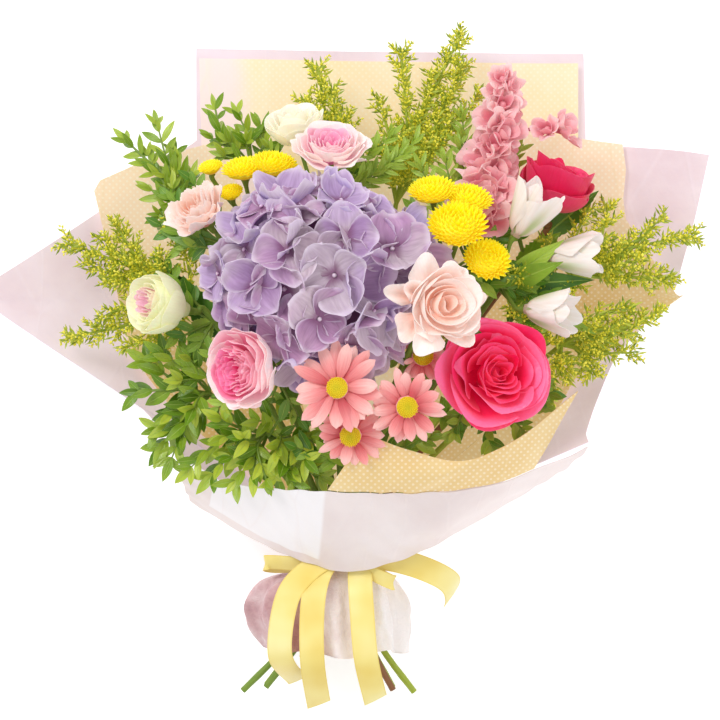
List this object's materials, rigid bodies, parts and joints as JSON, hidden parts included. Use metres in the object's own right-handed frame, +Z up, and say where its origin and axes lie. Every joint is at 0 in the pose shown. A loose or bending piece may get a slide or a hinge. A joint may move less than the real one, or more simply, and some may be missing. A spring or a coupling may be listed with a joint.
{
  "type": "flower bouquet",
  "caption": "Mixed flower bouquet in layered pink and cream papers, tied with yellow ribbon, lying on its back with the blooms upward.",
  "frame": {"origin": "a flat spot on the underside of the outer back paper, under the blooms", "axes": "+Z up, the way the blooms face as the bouquet lies; +Y from the stem ends to the top of the paper; +X to the right of the blooms"},
  "size_m": [0.4786, 0.4622, 0.1865],
  "materials": {
    "paper_pink": "matt paper",
    "paper_cream": "matt paper",
    "paper_mauve": "matt paper",
    "ribbon_yellow": "satin",
    "binding_cord": "matt",
    "stem_green": "satin",
    "leaf_green": "satin",
    "goldenrod": "matt",
    "petal_lilac": "matt",
    "petal_crimson": "satin",
    "petal_rose": "satin",
    "petal_ivory": "satin",
    "petal_peach": "matt",
    "petal_coral": "matt",
    "disc_green_yellow": "matt",
    "petal_yellow": "matt",
    "petal_white": "satin",
    "petal_snapdragon": "matt"
  },
  "bodies": {
    "root": {"sheet_back_pink": "paper_pink", "sheet_left_pink": "paper_pink", "sheet_right_pink": "paper_pink", "sheet_front_pink": "paper_pink", "sheet_back_cream": "paper_cream", "sheet_left_cream": "paper_cream", "sheet_right_cream": "paper_cream", "sheet_front_cream": "paper_cream", "skirt_paper": "paper_mauve", "ribbon_band": "ribbon_yellow", "ribbon_tails_left": "ribbon_yellow", "ribbon_tails_right": "ribbon_yellow", "binding_cord": "binding_cord", "hydrangea_bloom": "petal_lilac", "rose_low_bloom": "petal_crimson", "rose_top_bloom": "petal_crimson", "garden_rose_low_bloom": "petal_rose", "garden_rose_left_bloom": "petal_ivory", "garden_rose_top_front_bloom": "petal_rose", "garden_rose_top_back_bloom": "petal_ivory", "carnation_right_bloom": "petal_peach", "carnation_left_bloom": "petal_peach", "snapdragon_bloom": "petal_snapdragon", "daisy_1_petals": "petal_coral", "daisy_1_eye": "disc_green_yellow", "pompon_left_1_bloom": "petal_yellow", "pompon_right_1_bloom": "petal_yellow", "alstroemeria_1_bloom": "petal_white", "daisy_2_petals": "petal_coral", "daisy_2_eye": "disc_green_yellow", "pompon_left_2_bloom": "petal_yellow", "pompon_right_2_bloom": "petal_yellow", "alstroemeria_2_bloom": "petal_white", "daisy_3_petals": "petal_coral", "daisy_3_eye": "disc_green_yellow", "pompon_left_3_bloom": "petal_yellow", "pompon_right_3_bloom": "petal_yellow", "alstroemeria_3_bloom": "petal_white", "hydrangea_stem": "stem_green", "rose_low_stem": "stem_green", "rose_top_stem": "stem_green", "garden_rose_low_stem": "stem_green", "garden_rose_left_stem": "stem_green", "garden_rose_top_stem": "stem_green", "carnation_right_stem": "stem_green", "carnation_left_stem": "stem_green", "daisy_stem": "stem_green", "pompon_left_stem": "stem_green", "pompon_right_stem": "stem_green", "alstroemeria_stem": "stem_green", "snapdragon_stem": "stem_green", "goldenrod_top_left": "goldenrod", "goldenrod_top": "goldenrod", "goldenrod_left": "goldenrod", "goldenrod_right": "goldenrod", "goldenrod_low_right": "goldenrod", "greens_top_left": "leaf_green", "greens_top": "leaf_green", "greens_low_left": "leaf_green", "greens_low": "leaf_green"}
  },
  "joints": []
}
